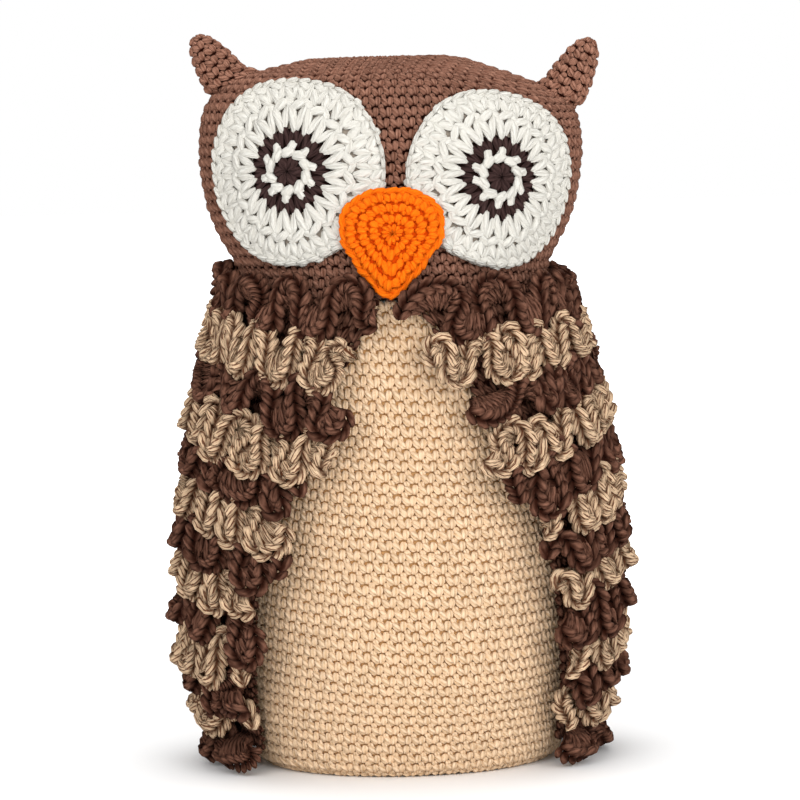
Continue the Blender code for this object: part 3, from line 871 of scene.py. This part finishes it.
def makeBeak():
    x, height = beakShape["place"]
    centre = (x, float(np.interp(height, tube["heights"], tube["sideS"])))
    orange = yarns["orangeYarn"]

    def onFace(reach, angle, lift):
        across = reach * (np.sin(angle) + beakShape["skew"] * np.minimum(np.cos(angle), 0))
        return faceSurface(centre, across, reach * np.cos(angle), lift)

    def dome(share):
        return beakShape["seat"] + beakShape["bulge"] * np.sqrt(np.clip(1 - share**3, 0, 1))

    parts = []
    pitch = beakShape["roundsReach"] / beakShape["rounds"]
    for row in range(beakShape["rounds"]):
        around = 2 * math.pi * (row + beakShape["firstRound"]) * beakCell[1] / beakCell[0]
        count = max(beakShape["fewest"], round(around))

        def surface(u, v, cell, row=row, count=count):
            share = np.maximum((row + 0.5 + v) * pitch, beakShape["eye"])
            angle = 2 * math.pi * u / count
            return onFace(beakOutline(angle) * share, angle, dome(share))

        columns = np.arange(count) + beakShape["roundLean"] * row
        parts.append(layStitches("beakRound", beakStitch, surface, columns, orange))

    def rim(u, v, cell):
        angle = 2 * math.pi * u / beakShape["braidCount"]
        reach = beakOutline(angle) - beakShape["braidInset"] + v * braidCell[1]
        return onFace(reach, angle, np.full(len(u), beakShape["braidLift"]))

    def place(points):
        angle = np.arctan2(points[:, 0], points[:, 1])
        flat = np.hypot(points[:, 0], points[:, 1])
        lift = np.where(points[:, 2] > 0, dome(flat), beakShape["seat"]) - beakShape["coreInset"]
        return onFace(beakOutline(angle) * flat * beakShape["coreReach"], angle, lift)

    parts.append(layStitches("beakEdge", braidStitch, rim, np.arange(beakShape["braidCount"]), orange))
    # painted shade: the core shows the orange yarn's gap shade between the stitches
    parts.append(layCore("beakCore", place, orange, 0.0, 32, 16))
    finishPiece("crocheted_beak", parts, "torso", ["beak"])


makeBeak()
chance.random(handwork["foldDraws"])


# wings: a crocheted panel each, with thirteen frilled rows worked into it

wingShape = dict(
    rows=13,
    pitch=0.0188,
    firstHeight=0.2434,
    firstDrop=0.011,
    drop=0.026,             # how much lower a row lies at the front than at the side
    rowsToFullDrop=3,
    rowsToLevel=3,
    floorRows=0.6,
    dropPower=1.3,
    # where a row starts, from the top one down, as a share of a quarter turn from the front
    edge=(0.08, 0.15, 0.245, 0.335, 0.42, 0.50, 0.54, 0.572, 0.60, 0.628, 0.655, 0.672, 0.69),
    backEdge=0.75,          # the same at the back, as a share of the start
    wall=0.0035,
    standOff=(0.0006, 0.0042, 0.0085),      # panel to body: at the neck, at its edges, at the belly's side
    # radians off the panel's front, row by row
    trim=(0.0, 0.06, 0.07, 0.055, 0.04, 0.02, 0.0, 0.0, 0.0, 0.0, 0.0, 0.0, 0.0),
    topMargin=0.0045,
    footMargin=0.005,
    stitchHeight=0.0062,
    radius=0.088,           # of the arc by which a row of the panel counts its stitches
    bulk=0.9,
    cloth=0.0014,           # the thickness of the cloth behind the panel's stitches
    clothCells=(40, 48),
    clothInset=0.015,       # share of the panel that the cloth leaves free on each side
)
frillShape = dict(
    post=0.0052,            # width of a post at the lip
    samples=1200,           # along a row's lines
    reach=0.0190,
    reachShares=(0.52, 0.80, 0.90, 0.96, 1, 1, 1, 1, 1, 1, 0.97, 0.94, 0.9),
    sideShares=dict(left=0.86, right=1.04),
    leftFoot=(2, 0.85),     # how many of the left wing's lowest rows keep only this share of the reach
    sideRise=dict(left=-0.0105, right=-0.0010),      # how much higher the top row lies at the side
    firstPitch=0.0300,      # from fold to fold
    brownPitch=0.0262,
    marlPitch=0.0245,
    fewestFolds=3,
    phase=0.37,             # folds that each row is moved on
    warp=0.34,              # how unevenly the folds follow each other, in folds
    swing=1.70,             # steepest angle of the lip's line, in radians
    uneven=0.26,
    stray=0.18,             # radians that the line strays beside that
    lastSwing=0.62,         # of its folds' height the lowest row keeps this share
    lastDrop=0.006,
    flare=dict(             # how far the lip runs past the front end of its base
        left=(0.010, 0.004, 0.004, 0.012, 0.008, 0.010, 0.014, 0.014, 0.015, 0.016, 0.017, 0.016, 0.015),
        right=(0.002, -0.003, 0.010, 0.016, 0.015, 0.022, 0.023, 0.018, 0.016, 0.018, 0.021, 0.020, 0.010),
    ),
    flareLength=0.025,      # and the length of base it takes up
    depthNoise=0.24,        # how unevenly far the lip stands out
    droop=0.0045,
    floor=0.0050,           # the lowest height of a lip
    tuck=0.50,              # how much less the upper lobes stand out than the lower ones
    curl=0.74,              # how far out a post runs before it turns to the lip
    turnIn=0.25,
    seat=0.0024,            # off the panel's face
    roll=0.9,               # how far the lip's chain turns to the front
    rollFrom=0.35,          # and how far round to the back it does
    cloth=0.0012,
    clothCells=(14, 5),     # along a fold and up it
    clothSpan=(0.04, 0.94),         # where the cloth starts and the share of the posts it covers
)


def wingTurns(row):
    front = np.interp(row, np.arange(wingShape["rows"]), wingShape["edge"]) * math.pi / 2
    return front, math.pi - wingShape["backEdge"] * front


def panelTurns(row):
    front, back = wingTurns(row)
    return front + np.interp(row, np.arange(wingShape["rows"]), wingShape["trim"]), back


def rowHeight(row, turn):
    drop = np.interp(row / wingShape["rowsToFullDrop"], [0, 1], [wingShape["firstDrop"], wingShape["drop"]])
    below = (wingShape["rows"] - 1 - row + wingShape["floorRows"]) / wingShape["rowsToLevel"]
    drop = drop * np.clip(below, 0, 1)
    return (wingShape["firstHeight"] - row * wingShape["pitch"]
            - drop * np.maximum(0, np.cos(turn)) ** wingShape["dropPower"])


def standOff(row, turn):
    neck, edge, belly = wingShape["standOff"]
    last = wingShape["rows"] - 1
    hang = np.maximum(0, np.sin(math.pi * (row + 1) / (last + 3)))
    eased = hang * np.clip(row / wingShape["rowsToFullDrop"], 0, 1)
    return (neck + (belly - neck) * eased) * np.sin(turn) ** 2 + edge * np.cos(turn) ** 2


def wingPoint(sign, turn, height, lift):
    a = np.interp(height, tube["heights"], tube["widths"])
    b = np.interp(height, tube["heights"], tube["depths"])
    out = unit(np.stack([np.sin(turn) / a, -np.cos(turn) / b, 0 * turn], 1))
    place = np.stack([a * np.sin(turn), -b * np.cos(turn), height], 1) + out * np.asarray(lift)[..., None]
    place[:, 0] *= sign
    out[:, 0] *= sign
    return place, out


def makePanel(side, sign):
    last = wingShape["rows"] - 1
    top = -wingShape["topMargin"] / wingShape["pitch"]
    foot = last + wingShape["footMargin"] / wingShape["pitch"]
    rowCount = round((foot - top) * wingShape["pitch"] / wingShape["stitchHeight"])
    inset = wingShape["clothInset"]
    rows = []
    for index in range(rowCount):
        row = top + (foot - top) * (index + 0.5) / rowCount
        front, back = panelTurns(min(max(row, 0), last))
        rows.append((0, round((back - front) * wingShape["radius"] / singleCell[0]), row))
    columns, counts, rowsAt = listStitches(rows)

    def panelPoint(row, share):
        front, back = panelTurns(np.clip(row, 0, last))
        turn = front + (back - front) * (share if sign > 0 else 1 - share)
        return wingPoint(sign, turn, rowHeight(row, turn), standOff(row, turn) + wingShape["wall"] / 2)[0]

    def surface(u, v, cell):
        return panelPoint(rowsAt[cell] - v * (foot - top) / rowCount, (u + 0.5) / counts[cell])

    def sheetPlace(across, up):
        across, down = (inset + (1 - 2 * inset) * share for share in (across, 1 - up))
        return panelPoint(top + (foot - top) * down, across)

    yarn = yarns["wingYarn"]
    panel = finishPiece(side + "_crocheted_panel", [
        layStitches(side + "PanelStitches", singleCrochet, surface, columns, yarn, bulk=wingShape["bulk"]),
    ], None, [side + "_wing_panel"])
    # painted shade: the cloth behind the panel's stitches takes the dark gap shade
    sheet = laySheet(side + "_panel_cloth", sheetPlace, *wingShape["clothCells"], yarn, wingShape["cloth"])
    return [panel, finishSheet(sheet)]


postCell = (frillShape["post"], 0.0200)
frillPost = makeStitch("frillPost", postCell, [
    (21.5, 4.2, 5.2, (-1.3, -0.2, 0.6), 0.05, 0, 6, 6),
    (20.5, 4.2, 5, (1.3, -0.6, -0.6), -0.05, 0, 6, 6),
])
lipCell = (frillShape["post"], 0.0066)
lipChain = makeStitch("lipChain", lipCell, [
    (8.5, 5.6, 4.3, (0, 0, 2.4), math.pi / 2, 0.68, 6, 5),
    (8.5, 5.6, 4.3, (0.8, 0, -2.4), math.pi / 2, -0.68, 6, 5),
])


def smoothNoise(count, knots):
    # wanders between -1 and 1
    values = chance.uniform(-1, 1, max(knots, 2) + 1)
    at = np.linspace(0, len(values) - 1.001, count)
    index = at.astype(int)
    share = ease(at - index)
    return values[index] * (1 - share) + values[index + 1] * share


def follow(line, tracks, u):
    # the points of a line at the posts numbered u
    return np.stack([np.interp(u, tracks, line[:, axis]) for axis in range(3)], 1)


def makeFrill(side, sign, row):
    # the base line is worked into the panel, the lip's line swings up and down like a river
    last = wingShape["rows"] - 1
    samples = frillShape["samples"]
    colour = "marl" if row % 2 else "brown"
    front, back = wingTurns(row)
    share = np.linspace(0, 1, samples)
    turn = front + (back - front) * share
    lift = standOff(row, turn) + wingShape["wall"] + frillShape["seat"]
    base, out = wingPoint(sign, turn, rowHeight(row, turn), lift)
    baseLength = np.linalg.norm(np.diff(base, axis=0), axis=1).sum()
    reach = frillShape["reach"] * frillShape["reachShares"][row] * frillShape["sideShares"][side]
    footRows, footShare = frillShape["leftFoot"]
    if row > last - footRows and side == "left":
        reach = reach * footShare
    outerLength = baseLength + reach * (back - front)
    pitch = frillShape[("first" if row == 0 else colour) + "Pitch"]
    foldCount = max(frillShape["fewestFolds"], round(outerLength / pitch))

    # the lip's line, laid out flat: x along it and z up
    warp = share + frillShape["warp"] / foldCount * smoothNoise(samples, foldCount)
    swing = frillShape["swing"] * (1 + frillShape["uneven"] * smoothNoise(samples, foldCount))
    phase = 2 * math.pi * (warp * foldCount + frillShape["phase"] * row)
    heading = swing * np.sin(phase) + frillShape["stray"] * smoothNoise(samples, foldCount)
    x, z = np.cumsum(np.cos(heading)), np.cumsum(np.sin(heading))
    scale = outerLength / x[-1]
    fold = samples // foldCount
    pad = fold // 2
    level = np.convolve(np.pad(z, pad, mode="edge"), np.ones(fold) / fold, mode="same")[pad:pad + samples]
    z = (z - level) * scale
    drop = frillShape["droop"] * 4 * row * (last - row) / last**2
    if row == last:
        z = z * frillShape["lastSwing"]
        drop = frillShape["lastDrop"]

    # and hung round the wing
    at = x / x[-1]
    flare = frillShape["flare"][side][row] / baseLength
    at = at - flare * np.clip(1 - at, 0, 1) ** (baseLength / frillShape["flareLength"])
    lipTurn = front + (back - front) * at
    rise = z - drop + frillShape["sideRise"][side] * max(0, 1 - row / 2) * np.sin(lipTurn) ** 2
    outward = reach * (1 - frillShape["tuck"] * np.clip(0.5 + z / np.abs(z).max() / 2, 0, 1))
    outward *= 1 - frillShape["depthNoise"] * (0.5 + 0.5 * smoothNoise(samples, 2 * foldCount))
    lipBase, lipOut = wingPoint(sign, lipTurn, rowHeight(row, lipTurn), np.interp(at, share, lift))
    lip = lipBase + lipOut * outward[:, None]
    lip[:, 2] = np.maximum(lip[:, 2] + rise, frillShape["floor"])
    leg = lip - base
    along = (leg * out).sum(axis=1)[:, None]
    control = base + out * along * frillShape["curl"] + (leg - out * along) * frillShape["turnIn"]
    facing = unit(lip - control)
    facing[:, 1] -= frillShape["roll"] * np.maximum(0, frillShape["rollFrom"] + np.cos(lipTurn))
    facing = unit(facing)
    postCount = round(samples * scale / frillShape["post"])
    tracks = np.linspace(0, postCount, samples)

    def ruled(u, w):
        low, middle, high = (follow(line, tracks, u) for line in (base, control, lip))
        w = w[:, None]
        return (1 - w) ** 2 * low + 2 * w * (1 - w) * middle + w**2 * high

    def postSurface(u, v, cell):
        return ruled(u + 0.5, np.clip(v + 0.5, -0.05, 1.0))

    def lipSurface(u, v, cell):
        middle, ahead = (follow(line, tracks, u + 0.5) for line in (lip, facing))
        return middle + ahead * (v * lipCell[1])[:, None]

    def clothPlace(across, up):
        start, span = frillShape["clothSpan"]
        return ruled(across * postCount, start + span * up)

    number = row // 2 + 1
    slot, yarn = {"brown": ("wing_yarn", "wingYarn"), "marl": ("marl_yarn", "marlYarn")}[colour]
    frill = finishPiece(f"{side}_crocheted_{colour}_frill_{number}", [
        layStitches("posts", frillPost, postSurface, np.arange(postCount), yarns[yarn]),
        layStitches("lip", lipChain, lipSurface, np.arange(postCount), yarns[yarn]),
    ], None, [f"{side}_{colour}_ruffle_{number}"])
    alongFold, upFold = frillShape["clothCells"]
    # painted shade: the cloth behind the posts takes the dark gap shade
    cloth = laySheet(f"{side}_{colour}_frill_cloth_{number}", clothPlace, alongFold * foldCount, upFold,
                     yarns[yarn], frillShape["cloth"])
    return [frill, finishSheet(cloth)]


hingeShape = dict(
    across=0.077,
    neckHeight=0.2535,      # down to here a wing follows the torso
    freeHeight=0.1930,      # and from here on its own body
    bending=8,              # pieces in between, with their transforms baked and left off the wing's body: the panel and the top three frills, with cloths
)


for side, sign in (("left", 1), ("right", -1)):
    wing = makePanel(side, sign)
    for row in range(wingShape["rows"]):
        wing += makeFrill(side, sign, row)
    for index, piece in enumerate(wing):
        if index < hingeShape["bending"]:
            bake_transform(piece)
        else:
            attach(piece, side + "_wing")
print("wings ready")


# floor, light and camera

view = dict(
    pixel=0.0005115,       # metres that a pixel of the photograph covers at the owl
    pixels=800,            # the photograph's width
    lens=170,
    sensor=36,
    eyeHeight=0.300,
    centreRow=400,
    footRow=758,           # pixel row of the middle of the base
    roll=math.radians(1.5),
)
studio = dict(
    floorSize=60,
    floorColour=(0.94, 0.94, 0.94, 1),
    whiteFloor=(0.25, 1.1),     # metres from the owl where the floor starts to turn white, and where it is
    world=0.62,
    aim=(0, 0, 0.19),           # what the lamps point at
    lamps=dict(                 # place, width and power
        keyLamp=((-0.65, -1.95, 1.05), 1.5, 22),
        fillLamp=((0.95, -1.85, 0.75), 1.4, 25),
        topLamp=((0, 0.3, 1.8), 1.2, 17),
    ),
)


def addFloor():
    # white far away, and plain near the owl so that it takes the shadow
    bpy.ops.mesh.primitive_plane_add(size=studio["floorSize"], location=(0, 0, 0))
    floor = bpy.context.object
    floor.name = "floor"
    material, tree, shader = newMaterial("paleFloor")
    away = addNode(tree, "VectorMath", {0: addNode(tree, "TexCoord", {})["Object"]}, operation="LENGTH")
    far = addRange(tree, away["Value"], *studio["whiteFloor"])
    camera = addNode(tree, "LightPath", {})["Is Camera Ray"]
    setInputs(tree, shader, {
        "Base Color": studio["floorColour"],
        "Roughness": 1.0,
        "Specular IOR Level": 0.0,
        "Emission Color": (1, 1, 1, 1),
        "Emission Strength": addMath(tree, "MULTIPLY", far, camera),
    })
    floor.data.materials.append(material)


def addLamp(name, place, size, power):
    bpy.ops.object.light_add(type="AREA", location=place)
    lamp = bpy.context.object
    lamp.name = name
    lamp.data.size = size
    lamp.data.energy = power
    lamp.rotation_euler = (Vector(studio["aim"]) - Vector(place)).to_track_quat("-Z", "Y").to_euler()


def addWorld():
    # plain white to the camera and in gloss, softer as light
    world = bpy.data.worlds.new("studio")
    bpy.context.scene.world = world
    world.use_nodes = True
    tree = world.node_tree
    path = addNode(tree, "LightPath", {})
    seen = addMath(tree, "MAXIMUM", path["Is Camera Ray"], path["Is Glossy Ray"])
    setInputs(tree, tree.nodes["Background"], {
        "Color": (1, 1, 1, 1),
        "Strength": addMath(tree, "MULTIPLY_ADD", seen, 1 - studio["world"], studio["world"]),
    })


def addCamera():
    distance = view["pixel"] * view["pixels"] * view["lens"] / view["sensor"]
    middle = Vector((0, 0, (view["footRow"] - view["centreRow"]) * view["pixel"]))
    place = Vector((0, -math.sqrt(distance**2 - (view["eyeHeight"] - middle.z) ** 2), view["eyeHeight"]))
    bpy.ops.object.camera_add(location=place)
    camera = bpy.context.object
    camera.data.lens = view["lens"]
    camera.data.sensor_width = view["sensor"]
    camera.data.clip_end = 50
    camera.rotation_euler = (middle - place).to_track_quat("-Z", "Y").to_euler()
    camera.rotation_euler.rotate_axis("Z", -view["roll"])
    bpy.context.scene.camera = camera


addFloor()
for lampName, lamp in studio["lamps"].items():
    addLamp(lampName, *lamp)
addWorld()
addCamera()
bpy.context.scene.view_settings.view_transform = "Standard"
print("stage ready")
